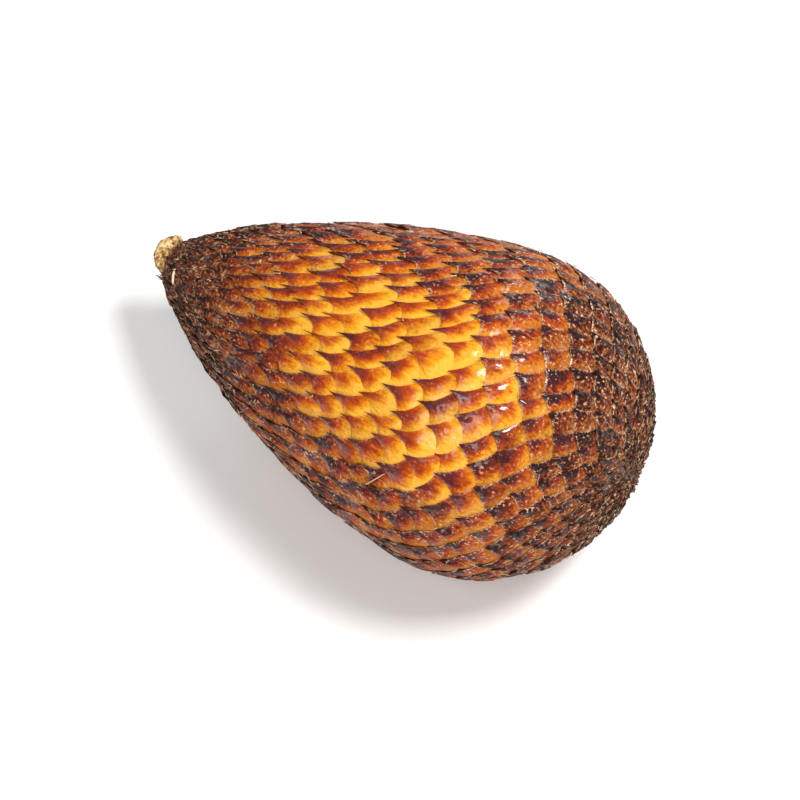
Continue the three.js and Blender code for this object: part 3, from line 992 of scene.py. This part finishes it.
def add_fibres():
    """Dry fibres shed from the scales, lying along the skin: more of them by the stalk and
    low on both sides. Each is straight along the skin plus a bow half a sine high, and its
    end stands off by a share of its length cubed."""
    rng = np.random.default_rng(SEED + 4)
    v = np.linspace(0.0, 1.0, 7)[None, :]
    angle = rng.choice(FIBRE_SIDES, FIBRES, p=FIBRE_SHARES)
    angle = np.radians(angle + FIBRE_SCATTER * rng.normal(size=FIBRES))[:, None]
    x = rng.uniform(*FIBRE_PLACES, FIBRES)[:, None]
    length = rng.uniform(*FIBRE_LENGTH, size=(FIBRES, 1))
    start = place_at(x)
    pitch = scale_pitch(*on_meridian(start)[:2])
    radius = np.maximum(on_meridian(start)[1], 2.0)
    turn = rng.normal(size=(FIBRES, 1)) * 0.3
    bow = rng.normal(size=(FIBRES, 1)) * 0.12
    angle = angle + (length * np.sin(turn) * v + bow * np.sin(math.pi * v)) / radius
    place = start + length / pitch * np.cos(turn) * v
    height = FIBRE_HEIGHT + 0.1 * rng.random((FIBRES, 1))
    height = height + 0.25 * rng.random((FIBRES, 1)) * v ** 3
    points, outward = along_skin(angle, place, height)
    radii = rng.uniform(*FIBRE_RADIUS, (FIBRES, 1)) * (1.0 - 0.8 * (2 * v - 1.0) ** 4)
    tones = rng.uniform(0.3, 1.0, FIBRES)
    add_tubes("shed_fibres", points, outward, radii, tones)


def add_splinters():
    """One pale splinter on the skin and a white thread that hangs from the knob, each
    between two places on the skin with a bow half a sine high."""
    v = np.linspace(0.0, 1.0, 9)[None, :]
    both = np.array([SPLINTER, THREAD]).T[:, :, None]
    from_x, from_angle, to_x, to_angle, radius, bow, tones = both
    x = from_x + (to_x - from_x) * v
    angle = from_angle + (to_angle - from_angle) * v
    height = SPLINTER_HEIGHT + bow * np.sin(math.pi * v)
    points, outward = along_skin(np.radians(angle), place_at(x), height)
    radii = radius * (1.0 - 0.7 * (2 * v - 1.0) ** 4)
    add_tubes("splinters", points, outward, radii, tones, 5)


def add_collar():
    """Dark and straw fibres round the knob's foot, lying along it or standing off a little:
    the height over the knob is a share of the length squared."""
    rng = np.random.default_rng(SEED + 5)
    column = (COLLAR_FIBRES, 1)
    v = np.linspace(0.0, 1.0, 5)[None, :]
    turn = rng.uniform(0.0, 2 * math.pi, column)
    angle = turn + rng.normal(size=column) * 0.25 * v
    length = rng.uniform(*COLLAR_LENGTH, column)
    x = RIM_PLACE + rng.uniform(*COLLAR_FROM, column) - length * v
    radius = COLLAR_HEIGHT + 0.25 * rng.random(column)
    radius = radius + rng.uniform(*COLLAR_LIFT, column) * v ** 2
    points = body_point(x, radius, angle)
    outward = unit(body_point(x, radius + 1.0, angle) - points)
    radii = rng.uniform(*COLLAR_RADIUS, column) * (1.0 - 0.8 * v ** 2)
    tones = rng.uniform(0.0, 0.75, COLLAR_FIBRES) ** 1.3
    add_tubes("knob_collar", points, outward, radii, tones)


# ---- floor, light and camera -----------------------------------------------------------
FLOOR_SIZE = 3.0
FLOOR_DROP = 0.00005  # below the fruit, so that the two never share a plane
CAMERA_AZIMUTH = 29.5
CAMERA_ELEVATION = 66.0
CAMERA_DISTANCE = 0.62
CAMERA_AIM = (-0.0037, -0.0030, 0.0187)
FRAME_WIDTH = 0.104  # at the aim
SENSOR_WIDTH = 36.0
WORLD_STRENGTH = 0.2


def add_floor():
    """A wide flat sheet under the fruit."""
    bpy.ops.mesh.primitive_plane_add(size=FLOOR_SIZE, location=(0, 0, -FLOOR_DROP))
    floor = bpy.context.object
    floor.name = "floor"
    floor.data.materials.append(pale_floor())


def set_towards(item, aim, azimuth, elevation, distance):
    """Places a light or camera in a direction from its aim, in degrees, facing the aim."""
    a, e = math.radians(azimuth), math.radians(elevation)
    back = np.array([math.sin(a) * math.cos(e), -math.cos(a) * math.cos(e), math.sin(e)])
    item.location = np.array(aim) + back * distance
    item.rotation_euler = (math.pi / 2 - e, 0, a)
    bpy.context.scene.collection.objects.link(item)


def add_light(name, azimuth, elevation, distance, size, watts, colour):
    """A square soft light."""
    lamp = bpy.data.lights.new(name, "AREA")
    lamp.size = size
    lamp.energy = watts
    lamp.color = colour
    light = bpy.data.objects.new(name, lamp)
    set_towards(light, (0, 0, 0), azimuth, elevation, distance)


def add_camera():
    """Looks down on the fruit's side, with the round end turned towards the camera."""
    data = bpy.data.cameras.new("camera")
    data.sensor_width = SENSOR_WIDTH
    data.lens = SENSOR_WIDTH * CAMERA_DISTANCE / FRAME_WIDTH
    camera = bpy.data.objects.new("camera", data)
    set_towards(camera, CAMERA_AIM, CAMERA_AZIMUTH, CAMERA_ELEVATION, CAMERA_DISTANCE)
    bpy.context.scene.camera = camera


def add_world():
    """Faint even light from all round."""
    world = bpy.data.worlds.new("studio")
    world.use_nodes = True
    background = world.node_tree.nodes["Background"]
    background.inputs["Color"].default_value = rgb(1.0, 1.0, 1.0)
    background.inputs["Strength"].default_value = WORLD_STRENGTH
    bpy.context.scene.world = world
    bpy.context.scene.view_settings.view_transform = "Standard"


add_skin()
add_knob()
add_prickles()
add_fibres()
add_splinters()
add_collar()
add_floor()
add_light("overhead", azimuth=125, elevation=69, distance=0.9, size=0.26, watts=7.4,
          colour=(1.0, 0.98, 0.95))
add_light("front_box", azimuth=10, elevation=52, distance=0.9, size=0.7, watts=5.8,
          colour=(1.0, 0.99, 0.97))
add_light("back_window", azimuth=186, elevation=18, distance=1.0, size=0.5, watts=4.0,
          colour=(0.95, 0.97, 1.0))
add_camera()
add_world()
